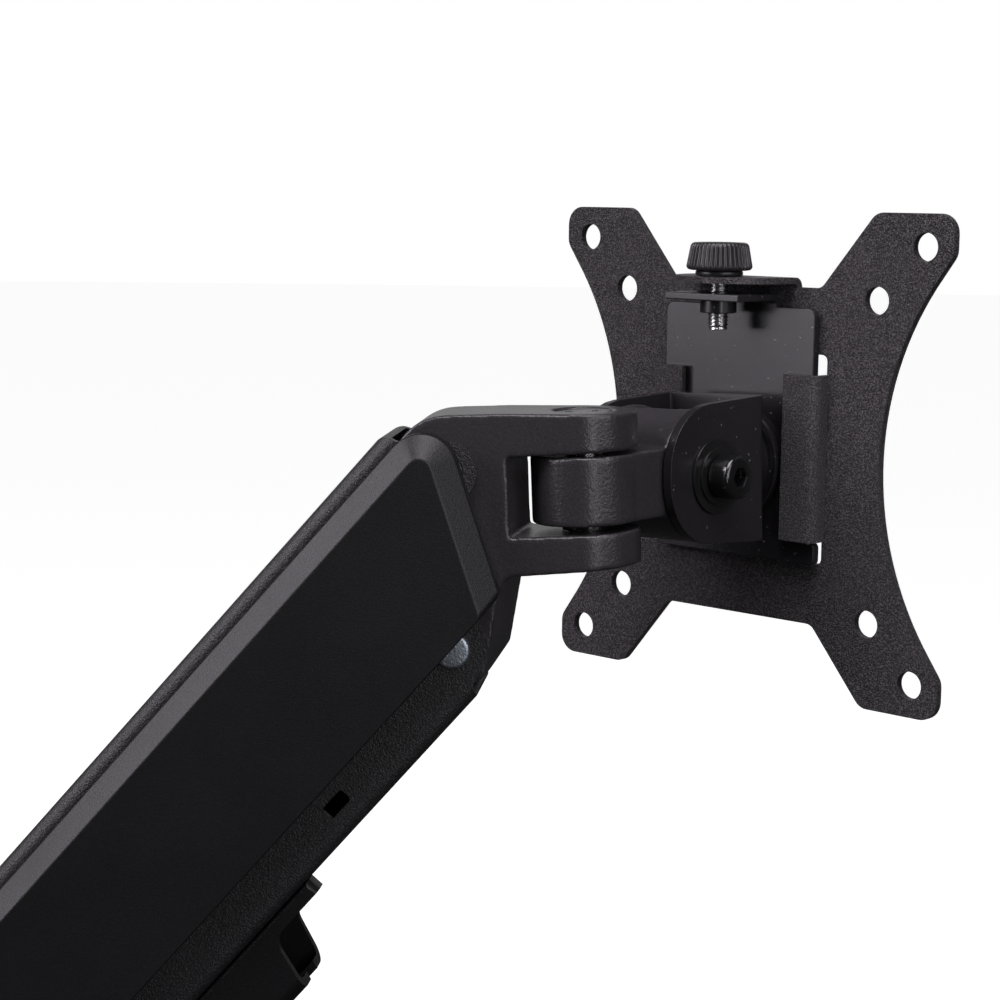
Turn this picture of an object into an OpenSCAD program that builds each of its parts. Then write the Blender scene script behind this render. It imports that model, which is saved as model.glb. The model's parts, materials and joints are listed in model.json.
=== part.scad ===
// Single monitor arm: desk clamp, swivel post, lower arm, gas-sprung parallelogram arm,
// swivel and tilt head, quick-release plate and VESA 75/100 plate.
// Millimetres. Origin: post axis at the desk top, +Z up, the screen faces -Y.

/* [Screen plate] */
// Width and height of the VESA plate
vesa_size = 115; // [113:1:120]
// Large VESA hole pitch
pitch_large = 100; // [99:1:101]
// Small VESA hole pitch
pitch_small = 75; // [74:1:76]
// Hole diameter in the VESA plate
vesa_hole = 6.5; // [4.5:0.5:7]
// Thickness of the VESA plate
vesa_t = 2; // [1.5:0.25:2]

/* [Arm] */
// Distance between the post axis and the elbow axis
lower_len = 220; // [200:5:300]
// Direction of the lower arm seen from above, from +X
lower_yaw = -44; // [-90:1:0]
// Distance between the pivots of the spring arm
spring_len = 240; // [230:5:300]
// Elevation of the spring arm at rest
elevation = 49.11; // [0:0.01:50]
// Direction of the spring arm seen from above, from +X
spring_yaw = -142.14; // [-170:0.01:-100]
// Built-in upward bias of both pivot lines
bias = 2.88; // [0:0.01:4]

/* [Clamp] */
// Thickness of the desk top held at rest
desk_t = 30; // [15:1:70]
// Height inside the clamp
clamp_reach = 92; // [90:1:110]

/* [Hidden] */
$fn = 64;
// Degrees per step of a rounded corner
arc_step = 12;
// Gap between parts that must not touch, and radial play of a running fit
slack = 0.3;
run = 0.05;
// How far a cutter runs past the face it cuts
over = 1;
CAST = [0.11, 0.11, 0.115];
SHEET = [0.13, 0.13, 0.135];
PLASTIC = [0.09, 0.09, 0.095];
STEEL = [0.7, 0.71, 0.72];
BLACK_STEEL = [0.16, 0.16, 0.165];
NYLON = [0.2, 0.2, 0.2];

// Heights of the lower half
pad_t = 2;
base_t = 6;
base_x = 100;
base_y = 80;
base_top = pad_t + base_t;
arm_z0 = 58;
arm_z1 = 86;
post_r = 11;
shaft_r = 9;
hub_r = 22;
elbow_r = 20;
flange_z0 = 87;
flange_z1 = 91.5;

// Clamp below the desk top
jaw_t = 5;
jaw_w = 70;
jaw_y = base_y / 2 + jaw_t;
jaw_y_front = -18;
screw_r = 5;
disc_r = 22;
disc_t = 4;
clamp_pad_t = 2.5;
screw_len = 100;
disc_z = -desk_t - clamp_pad_t;
screw_z = disc_z - disc_t - screw_len;

// Spring arm: distances between pivots and section of the two channels
pivot_gap = 39.55;
pivot_back = 29.7;
pivot_up = 6;
elbow_fwd = 20;
upper_z = 149;
pin_r = 4;
chan_w = 13.8;
wall = 2;
fork_w = 11.5;
chan_top = 15.9;
chan_low = 13;
ear_r = 7;
rivet_r = 4;
link_ear = 7.8;
link_low = 11.1;
link_up = 8;
cover_in = 14.1;
cover_edge = 17.5;
cover_out = 21.5;
cover_top = 12.1;
cover_low = 27;
bevel_w = 5.1;

// Gas spring
spring_back = 42;
spring_drop = -1;
nut_fwd = 8;
nut_drop = -13;
trunnion_r = 2.2;
eye_play = 0.66;
eye_turn = 0.524;
gas_r = 9;
gas_len = 125;
rod_r = 4;
eye_r = 8;

// Head
lobe_r = 12.1;
barrel_z0 = -7.2;
barrel_z1 = 8.2;
jaw_x = -17.5;
jaw_top = 18.3;
jaw_low = -18.1;
lobe_top = 17.3;
lobe_low = -16.6;
gap_top = 8.5;
gap_low = -9.3;
recess_z = 14;
lug_r = 9.3;
skew = 7.4;
neck = 28.4;
neck_drop = -0.5;
hub_w = 11.5;
tilt_hub_r = 15.5;
axis_back = 28.26;
axis_lift = 0.93;
spin_drop = 2.3;

// Directions and centres
phi = -90 - spring_yaw;
rho = atan(tan(bias) * sin(phi));
tau = asin(sin(bias) * cos(phi));
dir = [cos(spring_yaw), sin(spring_yaw), 0];
elbow = [lower_len * cos(lower_yaw), lower_len * sin(lower_yaw), 0];
rear_pivot = elbow + elbow_fwd * dir + [0, 0, upper_z];
front_pivot = rear_pivot + spring_len * (cos(elevation) * dir + [0, 0, sin(elevation)]);
ex = cos(bias) * dir + [0, 0, sin(bias)];
ez = [0, 0, cos(bias)] - sin(bias) * dir;
barrel = front_pivot + pivot_back * ex - pivot_up * ez;
ky = [-sin(tau) * sin(rho), cos(tau), -sin(tau) * cos(rho)];
tilt_axis = barrel - neck * ky - neck_drop * ez;
spin_axis = tilt_axis + [axis_lift * sin(rho), -axis_back, axis_lift * cos(rho)];
plate = spin_axis + [0, 0, spin_drop];
nut_at = [nut_fwd, nut_drop];
spring_at = [(spring_len - spring_back) * cos(elevation) - spring_drop * sin(elevation),
    (spring_len - spring_back) * sin(elevation) + spring_drop * cos(elevation)];
gas_line = nut_at - spring_at;
gas_total = norm(gas_line) - eye_play;
gas_tilt = atan2(-gas_line.y, -gas_line.x) + eye_turn;

// Rounded outlines: each corner is [x, y, radius]
function unit(v) = v / norm(v);
function corner(a, p, b, r) = r <= 0 ? [p] :
    let (ua = unit(a - p), ub = unit(b - p), half = acos(ua * ub) / 2,
        c = p + unit(ua + ub) * r / sin(half),
        s = p + ua * r / tan(half) - c, e = p + ub * r / tan(half) - c,
        a0 = atan2(s.y, s.x), turn = (atan2(e.y, e.x) - a0 + 540) % 360 - 180,
        n = max(2, ceil(abs(turn) / arc_step)))
    [for (i = [0:n]) c + r * [cos(a0 + turn * i / n), sin(a0 + turn * i / n)]];
function xy(p) = [p.x, p.y];
function rounded(pts) = let (n = len(pts))
    [for (i = [0:n - 1]) each corner(xy(pts[(i + n - 1) % n]), xy(pts[i]), xy(pts[(i + 1) % n]), pts[i].z)];
function box_pts(x0, y0, x1, y1, r) = [[x0, y0, r], [x1, y0, r], [x1, y1, r], [x0, y1, r]];

// Frames
module at_elbow() translate(elbow) rotate([0, 0, spring_yaw]) children();
module at_rear() translate(rear_pivot) rotate([0, 0, spring_yaw]) children();
module at_channel() at_rear() rotate([0, -elevation, 0]) children();
module at_link() at_rear() rotate([0, -bias, 0]) translate([0, 0, -pivot_gap])
    rotate([0, bias - elevation, 0]) children();
module at_gas() at_rear() translate([spring_at.x, 0, spring_at.y]) rotate([0, -gas_tilt, 0]) children();
module at_fork() translate(barrel) rotate([0, 0, spring_yaw]) rotate([0, -bias, 0]) children();
module at_knuckle() translate(tilt_axis) rotate([0, rho, 0]) rotate([-tau, 0, 0]) children();
module at_tilt() translate(tilt_axis) rotate([0, rho, 0]) children();
module at_plate() translate(plate) children();
module at_spin() translate(spin_axis) children();
module at_lower() rotate([0, 0, lower_yaw]) children();

// Extrusions of a drawing: upright along Y, and sideways along X
module upright(y0, y1) translate([0, y1, 0]) rotate([90, 0, 0]) linear_extrude(y1 - y0) children();
module sideways(x0, x1) translate([x0, 0, 0]) rotate([90, 0, 90]) linear_extrude(x1 - x0) children();
module layer(z0, z1) translate([0, 0, z0]) linear_extrude(z1 - z0) children();
module rod_y(r, half) rotate([90, 0, 0]) cylinder(r = r, h = 2 * half, center = true);
module rod_x(r, x0, x1) translate([x0, 0, 0]) rotate([0, 90, 0]) cylinder(r = r, h = x1 - x0);
module ring(r_out, r_in, z0, z1) translate([0, 0, z0]) difference() {
    cylinder(r = r_out, h = z1 - z0);
    translate([0, 0, -over]) cylinder(r = r_in, h = z1 - z0 + 2 * over);
}
module screw_socket(af, depth) translate([0, 0, -depth])
    cylinder(d = af / cos(30), h = depth + over, $fn = 6);
module socket_screw(r, len, head_r, head_h, af) {
    translate([0, 0, -len]) cylinder(r = r, h = len + 0.5);
    difference() {
        cylinder(r = head_r, h = head_h);
        translate([0, 0, head_h]) screw_socket(af, head_h * 0.6);
    }
}

/* Base and clamp */
module desk_pad() color(NYLON) difference() {
    layer(0, pad_t) polygon(rounded(box_pts(-base_x / 2, -base_y / 2, base_x / 2, base_y / 2, 8)));
    column_holes(6);
}
column_pitch = 34;
module column_holes(r) for (sx = [-1, 1], sy = [-1, 1])
    translate([sx, sy, 0] * column_pitch / 2) translate([0, 0, -over])
        cylinder(r = r, h = base_top + 2 * over);
bolt_x = 24;
bolt_y = base_y / 2 - 5;
bracket_y = base_y / 2 - 10;
module base_plate() color(CAST) difference() {
    layer(pad_t, base_top) polygon(rounded(box_pts(-base_x / 2, -base_y / 2, base_x / 2, base_y / 2, 8)));
    column_holes(2.6);
    for (sx = [-1, 1], sy = [-1, 1]) translate([sx, sy, 0] * column_pitch / 2)
        translate([0, 0, pad_t - over]) cylinder(r = 5, h = 3 + over);
    for (sx = [-1, 1]) translate([sx * bolt_x, bolt_y, pad_t - over])
        cylinder(r = 3, h = base_t + 2 * over);
}
module base_column() color(CAST) difference() {
    rotate_extrude() polygon([[0, base_top], [28.5, base_top], [28.5, base_top + 5], [27, base_top + 8],
        [22, base_top + 14], [20, base_top + 22], [20, arm_z0 - 4], [19, arm_z0 - 1], [0, arm_z0 - 1]]);
    translate([0, 0, 14]) cylinder(r = post_r, h = arm_z0);
    for (sx = [-1, 1], sy = [-1, 1]) translate([sx, sy, 0] * column_pitch / 2)
        translate([0, 0, base_top - over]) cylinder(r = 2.5, h = 9 + over);
}
module column_screws() color(BLACK_STEEL) for (sx = [-1, 1], sy = [-1, 1])
    translate([sx * column_pitch / 2, sy * column_pitch / 2, pad_t + 3]) rotate([180, 0, 0])
        socket_screw(2.5, 11.5, 4.6, 2.8, 3);
module swivel_post() color(STEEL) difference() {
    translate([0, 0, 14]) cylinder(r = post_r, h = arm_z1 - 0.3 - 14);
    translate([0, 0, arm_z1 - 22]) cylinder(r = 4, h = 30);
}
module post_washer() color(STEEL) ring(16, 4.2, arm_z1 + 0.1, arm_z1 + 2.1);
module post_screw() color(BLACK_STEEL) translate([0, 0, arm_z1 + 2.1]) socket_screw(4, 20, 6.5, 4, 5);

module clamp_bracket() color(CAST) difference() {
    union() {
        sideways(-jaw_w / 2, jaw_w / 2) polygon(rounded([[bracket_y, base_top, 0],
            [jaw_y - jaw_t, base_top, 0], [jaw_y - jaw_t, -clamp_reach, 2], [jaw_y_front, -clamp_reach, 0],
            [jaw_y_front, -clamp_reach - jaw_t, 2], [jaw_y, -clamp_reach - jaw_t, 6],
            [jaw_y, base_top + jaw_t, 5], [bracket_y, base_top + jaw_t, 1]]));
        translate([0, 0, -clamp_reach - jaw_t - 6]) cylinder(r = 10, h = jaw_t + 10);
    }
    translate([0, 0, -clamp_reach - 40]) cylinder(r = screw_r + run, h = 60);
    for (sx = [-1, 1]) {
        translate([sx * bolt_x, bolt_y, base_top - over]) cylinder(r = 3.2, h = jaw_t + 2 * over);
        translate([sx * (jaw_w / 2 + 6), 0, -clamp_reach - 20]) rotate([0, 0, sx * 16])
            translate([-10, -60, 0]) cube([20, 60, 40]);
    }
}
module clamp_bolts() color(BLACK_STEEL) for (sx = [-1, 1])
    translate([sx * bolt_x, bolt_y, base_top + jaw_t]) socket_screw(3, 10, 5, 3.5, 4);
module clamp_disc() color(CAST) translate([0, 0, disc_z - disc_t]) difference() {
    union() {
        cylinder(r = disc_r, h = disc_t);
        translate([0, 0, -6]) cylinder(r = 8.5, h = 7);
    }
    translate([0, 0, -6 - over]) cylinder(r = screw_r + run, h = 6 + over);
}
module clamp_pad() color(NYLON) translate([0, 0, disc_z]) cylinder(r = disc_r, h = clamp_pad_t);
module clamp_screw() color(STEEL) translate([0, 0, screw_z]) cylinder(r = screw_r, h = screw_len - 0.1);
knob_lobes = 6;
module clamp_handle() color(PLASTIC) translate([0, 0, screw_z - 10]) difference() {
    union() {
        cylinder(r = 19, h = 16);
        for (i = [0:knob_lobes - 1]) rotate([0, 0, i * 360 / knob_lobes])
            translate([17, 0, 0]) cylinder(r = 7, h = 16);
        translate([0, 0, 16]) cylinder(r = 11, h = 6);
    }
    translate([0, 0, 4]) cylinder(r = screw_r, h = 40);
}

/* Lower arm */
duct_x0 = 36;
duct_x1 = lower_len - 34;
module lower_outline(grow) {
    circle(r = hub_r + grow);
    translate([lower_len, 0]) circle(r = elbow_r + grow);
    polygon([[0, -17.5 - grow], [lower_len, -15.5 - grow], [lower_len, 15.5 + grow], [0, 17.5 + grow]]);
}
module lower_arm() color(CAST) at_lower() difference() {
    layer(arm_z0, arm_z1) lower_outline(0);
    translate([0, 0, arm_z0 - over]) cylinder(r = post_r + 2.5, h = 40);
    translate([lower_len, 0, arm_z0 - over]) cylinder(r = shaft_r + 2.5, h = 40);
    layer(arm_z0 - over, arm_z0 + 16) polygon(rounded(box_pts(duct_x0, -11, duct_x1, 11, 5)));
}
module base_bush() color(NYLON) {
    ring(post_r + 2.5, post_r + run, arm_z0, arm_z1);
    ring(18, post_r + run, arm_z0 - 0.9, arm_z0);
}
module elbow_bush() color(NYLON) translate(elbow) {
    ring(shaft_r + 2.5, shaft_r + run, arm_z0, arm_z1);
    ring(18, shaft_r + run, arm_z1, arm_z1 + 0.9);
}
module cup(r_out, r_in, z0, z1, z_in) difference() {
    translate([0, 0, z0]) cylinder(r = r_out, h = z1 - z0);
    translate([0, 0, z0 - over]) cylinder(r = r_in, h = z_in - z0 + over);
}
module base_cap() color(PLASTIC) cup(21, 18, arm_z1, arm_z1 + 9, arm_z1 + 7);
module elbow_cap() color(PLASTIC) translate(elbow) mirror([0, 0, 1])
    cup(18, 15.5, -arm_z0, -arm_z0 + 8, -arm_z0 + 6.2);
module lower_cable_cover() color(PLASTIC) at_lower() {
    layer(arm_z0 - 1.5, arm_z0) polygon(rounded(box_pts(duct_x0 - 3, -13, duct_x1 + 3, 13, 6)));
    for (x = [duct_x0 + 12, duct_x1 - 12], s = [-1, 1]) translate([x, s * 9.4, arm_z0 - over])
        translate([-5, -1, 0]) cube([10, 2, 9]);
}

/* Elbow bracket, in the plane of the spring arm, seen from the elbow axis */
module bracket_side() {
    translate([elbow_fwd, upper_z]) circle(r = 12);
    translate([elbow_fwd + pivot_gap * sin(bias), upper_z - pivot_gap * cos(bias)]) circle(r = 11.5);
    polygon(rounded([[-17, flange_z0 + 2, 0], [-17, 98, 6], [8, 130, 14], [8, upper_z, 0],
        [elbow_fwd + 11.9, upper_z, 0], [elbow_fwd + 11.9, 118, 0], [18, 104, 0], [18, flange_z0 + 2, 0]]));
}
slot_w = 6.8;
module elbow_bracket() color(CAST) at_elbow() difference() {
    union() {
        layer(flange_z0, flange_z1) circle(r = elbow_r);
        upright(-fork_w, fork_w) bracket_side();
    }
    translate([-30, -slot_w, 121]) cube([80, 2 * slot_w, 60]);
    translate([0, 0, flange_z0 - over]) cylinder(r = shaft_r, h = 6);
    translate([elbow_fwd, 0, upper_z]) rod_y(pin_r + run, 30);
    translate([elbow_fwd + pivot_gap * sin(bias), 0, upper_z - pivot_gap * cos(bias)])
        rod_y(pin_r + run, 30);
    translate([elbow_fwd + nut_fwd, 0, 115]) cylinder(r = 3, h = 10);
}
module elbow_shaft() color(STEEL) translate([elbow.x, elbow.y, arm_z0 + 0.3]) difference() {
    cylinder(r = shaft_r, h = flange_z0 + 5 - arm_z0 - 0.3);
    translate([0, 0, -over]) cylinder(r = 3, h = 20);
}
module elbow_washer() color(STEEL) translate(elbow) ring(14, 3.2, arm_z0 - 2, arm_z0 - 0.2);
module elbow_screw() color(BLACK_STEEL) translate(elbow) translate([0, 0, arm_z0 - 2]) rotate([180, 0, 0])
    socket_screw(3, 17, 5, 3.4, 4);
module tension_screw() color(BLACK_STEEL) at_rear() translate([nut_fwd, 0, 5.5])
    socket_screw(3, 39, 4.4, 4.5, 5);
module tension_nut() color(STEEL) at_rear() translate([nut_fwd, 0, nut_drop]) difference() {
    union() {
        rod_y(6, 4);
        rod_y(trunnion_r, 6.3);
    }
    translate([0, 0, -10]) cylinder(r = 3, h = 20);
}

/* Spring arm */
module channel_side() {
    for (x = [0, spring_len]) translate([x, 0]) circle(r = ear_r);
    polygon(rounded([[0, -ear_r, 0], [14, -chan_low, 6], [spring_len - 16, -chan_low, 6],
        [spring_len, -ear_r, 0], [spring_len, ear_r, 0], [spring_len - 3.5, chan_top, 3],
        [14, chan_top, 3], [0, ear_r, 0]]));
}
module channel_section(half, top, low, t) difference() {
    polygon(rounded([[-half, -low, 0], [half, -low, 0], [half, top, 3.3], [-half, top, 3.3]]));
    polygon(rounded([[t - half, -low - over, 0], [half - t, -low - over, 0], [half - t, top - t, 1.5],
        [t - half, top - t, 1.5]]));
}
post_xs = [40, 120, 196];
module upper_channel() color(BLACK_STEEL) at_channel() difference() {
    intersection() {
        sideways(-20, spring_len + 20) channel_section(chan_w, chan_top, 20, wall);
        upright(-chan_w - over, chan_w + over) channel_side();
    }
    for (x = [0, spring_len]) translate([x, 0, 0]) rod_y(pin_r, 30);
    translate([spring_len - spring_back, 0, spring_drop]) rod_y(3, 30);
    for (x = post_xs) translate([x, 0, 5]) rod_y(2.6, 30);
}
// Cover outline along the arm: slanted ends round the pivots, straight top and bottom
module cover_outline(inset, low) {
    x1 = spring_len;
    slant = 30.3;
    dx = (cover_top + cover_low) * tan(slant);
    tip = 11.3 - inset / cos(slant);
    polygon(rounded([[-tip + inset * tan(slant), cover_top - inset, 7.9 - inset],
        [x1 + tip - inset * tan(slant), cover_top - inset, 7.9 - inset],
        [x1 + tip - dx + (low - cover_low) * -tan(slant), -low, 2.5],
        [-tip + dx - (low - cover_low) * -tan(slant), -low, 2.5]]));
}
module cover_shell() {
    difference() {
        union() {
            layer(cover_in, cover_edge) cover_outline(0, cover_low);
            hull() {
                layer(cover_edge - 0.01, cover_edge) cover_outline(0, cover_low);
                layer(cover_out - 0.01, cover_out) cover_outline(bevel_w, cover_low);
            }
        }
        layer(cover_in - over, cover_edge - 0.6) cover_outline(wall, cover_low + 6);
        hull() {
            layer(cover_edge - 0.61, cover_edge - 0.6) cover_outline(wall, cover_low + 6);
            layer(cover_out - wall - 0.01, cover_out - wall) cover_outline(bevel_w + 0.4, cover_low + 6);
        }
    }
    for (x = post_xs) {
        translate([x, 5, cover_in]) cylinder(r = 4, h = cover_out - wall - cover_in);
        translate([x, 5, cover_in - 3]) cylinder(r = 2.5, h = 4);
    }
}
module side_cover_left() color(PLASTIC) at_channel() rotate([90, 0, 0]) cover_shell();
module side_cover_right() color(PLASTIC) at_channel() mirror([0, 1, 0]) rotate([90, 0, 0]) cover_shell();
module rear_upper_pin() color(STEEL) at_channel() rod_y(pin_r, chan_w);
module front_upper_pin() color(STEEL) at_channel() translate([spring_len, 0, 0]) rod_y(pin_r, chan_w);
module spring_pin() color(STEEL) at_channel() translate([spring_len - spring_back, 0, spring_drop])
    rod_y(3, chan_w);

/* Gas spring: X runs from the nut towards the front pin, which is the origin */
module gas_cylinder() color(BLACK_STEEL) at_gas() difference() {
    union() {
        rod_x(gas_r, -8 - gas_len, -8);
        rod_y(eye_r, 7);
        rod_x(6, -10, -4);
    }
    rod_x(rod_r + run, -9 - gas_len, -20);
    rod_y(3 + run, 10);
}
yoke_x = 16;
module gas_rod() color(STEEL) at_gas() rod_x(rod_r, yoke_x - gas_total - 2, -24 - gas_len / 4);
clevis_bore = 4.5;
module rod_clevis() color(BLACK_STEEL) at_gas() translate([-gas_total, 0, 0]) difference() {
    union() {
        for (s = [-1, 1]) translate([0, s * 5.35, 0]) {
            rod_y(6.4, 0.95);
            translate([0, -0.95, -4.5]) cube([yoke_x, 1.9, 9]);
        }
        translate([yoke_x - 5, -6.3, -4.5]) cube([8, 12.6, 9]);
    }
    rod_y(clevis_bore, 12);
    rod_x(rod_r, yoke_x - 2, yoke_x + 20);
}

/* Lower link, origin at its rear pivot */
slot_len = 6.7;
slot_h = 3.3;
duct_front = spring_len - 62.5;
duct_len = 112;
duct_studs = [duct_front - 20, duct_front - duct_len + 20];
module link_side() {
    circle(r = ear_r);
    translate([spring_len, 0]) circle(r = link_ear);
    polygon(rounded([[0, -ear_r, 0], [12, -link_low, 5], [spring_len - 4.1, -link_low, 0.8],
        [spring_len - 3.9, -9.3, 1.5], [spring_len + 1, -7.2, 0], [spring_len + 4, 3.5, 0],
        [spring_len, ear_r, 0],
        [spring_len - 12, link_up, 4], [12, link_up, 4], [0, ear_r, 0]]));
}
module lower_link() color(BLACK_STEEL) at_link() difference() {
    intersection() {
        sideways(-20, spring_len + 20) mirror([0, 1]) channel_section(chan_w, link_low, 20, wall);
        upright(-chan_w - over, chan_w + over) link_side();
    }
    rod_y(12.2, fork_w + slack);
    translate([spring_len, 0, 0]) rod_y(lug_r + 2 * slack, fork_w + slack);
    for (x = [0, spring_len]) translate([x, 0, 0]) rod_y(pin_r, 30);
    translate([spring_len - 44.3, 0, -4.2]) upright(-30, 30)
        polygon(rounded(box_pts(-slot_len / 2, -slot_h / 2, slot_len / 2, slot_h / 2, 0.8)));
    for (x = duct_studs) translate([x, 0, -20]) cylinder(r = 3, h = 20);
}
module rear_lower_pin() color(STEEL) at_link() rod_y(pin_r, chan_w + 1.5);
module front_lower_rivet() color(STEEL) at_link() translate([spring_len, 0, 0]) {
    rod_y(pin_r, chan_w);
    for (s = [-1, 1]) translate([0, s * (chan_w + 0.7), 0]) rod_y(rivet_r, 0.7);
}
// Cable duct: a C section under the link, open along the bottom, with a tongue in front on one side
duct_web = 3.3;
tongue = 13.8;
duct_h = 16.5;
module duct_outer(in) polygon(rounded([[-13 + in, -in, 1], [13 - in, -in, 1],
    [11.5 - in, in - duct_h, 4 - in], [in - 11.5, in - duct_h, 4 - in]]));
module cable_duct() color(PLASTIC) at_link() translate([0, 0, -link_low - slack / 2]) {
    difference() {
        intersection() {
            sideways(duct_front - duct_len, duct_front) difference() {
                duct_outer(0);
                difference() {
                    duct_outer(wall);
                    translate([-20, -duct_web]) square([40, 10]);
                }
                translate([-3.75, -duct_h - over]) square([7.5, 4]);
            }
            layer(-30, over) polygon(rounded([[duct_front - 2 * duct_len, -13.5, 0], [duct_front, -13.5, 3],
                [duct_front, -5, 3], [duct_front - tongue, -5, 2], [duct_front - tongue, 13.5, 2],
                [duct_front - 2 * duct_len, 13.5, 0]]));
        }
        upright(-20, 20) polygon(rounded([[duct_front - tongue - 2, -duct_web, 4.5],
            [duct_front + 10, -duct_web, 0], [duct_front + 10, -30, 0], [duct_front - 25, -30, 0]]));
    }
    for (x = duct_studs) translate([x, 0, -1]) cylinder(r = 2.9, h = 4.5);
}

/* Head fork, origin on the swivel axis, +X towards the screen */
low_pivot = [-pivot_back, pivot_up - pivot_gap];
function from_low(x, z, r) = [low_pivot.x + x, low_pivot.y + z, r];
module fork_side() {
    polygon(rounded([from_low(-8, 0, 0), [-pivot_back - 8, pivot_up, 0], [-pivot_back, jaw_top, 0],
        [jaw_x, jaw_top, 0], [lobe_r + over, lobe_top, 0], [lobe_r + over, jaw_low - 2, 0],
        from_low(16, 12, 0), from_low(12, -1, 2.5), from_low(7, -6.6, 2), from_low(0, -8, 0)]));
}
module fork_plan() {
    circle(r = lobe_r);
    polygon([[-60, -fork_w], [-20, -fork_w], [-1.5, run - lobe_r], [4, -10], [4, 10],
        [-1.5, lobe_r - run], [-20, fork_w], [-60, fork_w]]);
}
// Cut below the lower jaw: its underside and the skewed, slanted front face of the lower lug
module lug_face() translate([low_pivot.x, 0, low_pivot.y]) rotate([0, 0, -skew]) upright(-30, 30)
    polygon(rounded([[5.4, -20, 0], [12.6, jaw_low - low_pivot.y, 4],
        [pivot_back + lobe_r, lobe_low - low_pivot.y, 0], [60, lobe_low - low_pivot.y, 0], [60, -20, 0]]));
// Pocket between the jaws: a skewed rear wall, and jaws that open towards the front
module fork_pocket() intersection() {
    layer(-30, 30) polygon([[-17.3, -20], [-12.7, 20], [30, 20], [30, -20]]);
    upright(-20, 20) polygon([[-20, gap_low], [-20, gap_top], [lobe_r, gap_top + 0.7],
        [30, gap_top + 0.7], [30, gap_low + 0.5], [lobe_r, gap_low + 0.5]]);
}
module head_fork() color(CAST) at_fork() difference() {
    union() {
        intersection() {
            upright(-lobe_r - over, lobe_r + over) fork_side();
            layer(-60, 30) fork_plan();
        }
        translate([-pivot_back, 0, pivot_up]) rod_y(jaw_top - pivot_up - run, fork_w);
        translate([low_pivot.x, 0, low_pivot.y]) rod_y(lug_r, fork_w);
    }
    fork_pocket();
    lug_face();
    translate([-pivot_back, 0, pivot_up]) rod_y(pin_r + 1, 20);
    translate([low_pivot.x, 0, low_pivot.y]) rod_y(pin_r + run, 20);
    translate([0, 0, -30]) cylinder(r = 4, h = 60);
    translate([0, 0, recess_z]) cylinder(r = 6.5, h = 10);
}
module fork_bush() color(NYLON) at_fork() translate([-pivot_back, 0, pivot_up]) difference() {
    rod_y(pin_r + 1, fork_w);
    rod_y(pin_r + run, 20);
}
module swivel_pin() color(STEEL) at_fork() {
    translate([0, 0, -17]) cylinder(r = 4, h = recess_z + 17);
    translate([0, 0, recess_z]) cylinder(r = 6.2, h = 2.2);
}
module swivel_cap() color(PLASTIC) at_fork() difference() {
    translate([0, 0, recess_z + 2.2]) cylinder(r = 6.4, h = 1.2);
    for (s = [-1, 1]) translate([s * 3, 0, recess_z + 2.8]) cylinder(r = 1, h = 2);
}

/* Knuckle, origin on the tilt axis, +Y towards the swivel axis */
module knuckle() color(CAST) at_knuckle() difference() {
    union() {
        rod_x(tilt_hub_r, -hub_w, hub_w);
        translate([0, neck, neck_drop + barrel_z0]) cylinder(r = lobe_r, h = barrel_z1 - barrel_z0);
        translate([-hub_w, 6, neck_drop + barrel_z0]) cube([2 * hub_w, neck - 6, barrel_z1 - barrel_z0]);
    }
    rod_x(5 + run, -20, 20);
    difference() {
        rod_x(40, -8.5, 8.5);
        rod_x(14.2, -9, 9);
        translate([-20, 2, -30]) cube([40, 60, 60]);
    }
    translate([0, neck, -30]) cylinder(r = 5.3, h = 60);
}
module barrel_bush() color(NYLON) at_knuckle() translate([0, neck, neck_drop]) {
    ring(5.3, 4 + run, barrel_z0, barrel_z1);
    ring(5.5, 4 + run, gap_low + 0.45, barrel_z0);
}

/* Tilt bracket, origin on the tilt axis, base towards -Y */
base_in = 11.4 - axis_back;
base_out = 8.9 - axis_back;
ear_out = 14.6;
ear_t = 2.2;
module tilt_bracket() color(SHEET) at_tilt() difference() {
    intersection() {
        layer(-30, 30) difference() {
            polygon(rounded([[-ear_out, base_out, 3], [ear_out, base_out, 3], [ear_out, 30, 0],
                [-ear_out, 30, 0]]));
            polygon(rounded([[ear_t - ear_out, base_in, 0.8], [ear_out - ear_t, base_in, 0.8],
                [ear_out - ear_t, 40, 0], [ear_t - ear_out, 40, 0]]));
        }
        sideways(-20, 20) polygon(rounded([[base_out - over, -16.8, 2], [16, -14.6, 14.7], [16, 15.9, 14.7],
            [base_out - over, 17.6, 2]]));
    }
    rod_x(3, -20, 20);
    translate([0, 0, axis_lift]) rotate([90, 0, 0]) cylinder(r = 6 + run, h = 40);
}
module tilt_bolt() color(BLACK_STEEL) at_tilt() translate([-ear_out - 1.2, 0, 0]) rotate([0, -90, 0])
    socket_screw(3, 2 * ear_out + 9, 5, 6, 5);
module tilt_nut() color(BLACK_STEEL) at_tilt() difference() {
    translate([ear_out + 1.2, 0, 0]) rotate([0, 90, 0]) cylinder(d = 10 / cos(30), h = 6, $fn = 6);
    rod_x(3, 0, 40);
}
module tilt_sleeve() color(STEEL) at_tilt() difference() {
    rod_x(5, ear_t - ear_out, ear_out - ear_t);
    rod_x(3, -20, 20);
}
module tilt_washers() color(NYLON) at_tilt() for (s = [0, 180]) rotate([0, 0, s]) difference() {
    union() {
        rod_x(13, hub_w + 0.1, ear_out - ear_t);
        rod_x(8.3, ear_out, ear_out + 1.2);
    }
    rod_x(5, 0, ear_out - ear_t + 0.01);
    rod_x(3, 0, 30);
}
module friction_ring() color(NYLON) at_spin() rotate([-90, 0, 0]) ring(13, 6 + run, 8, 8.9);

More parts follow.
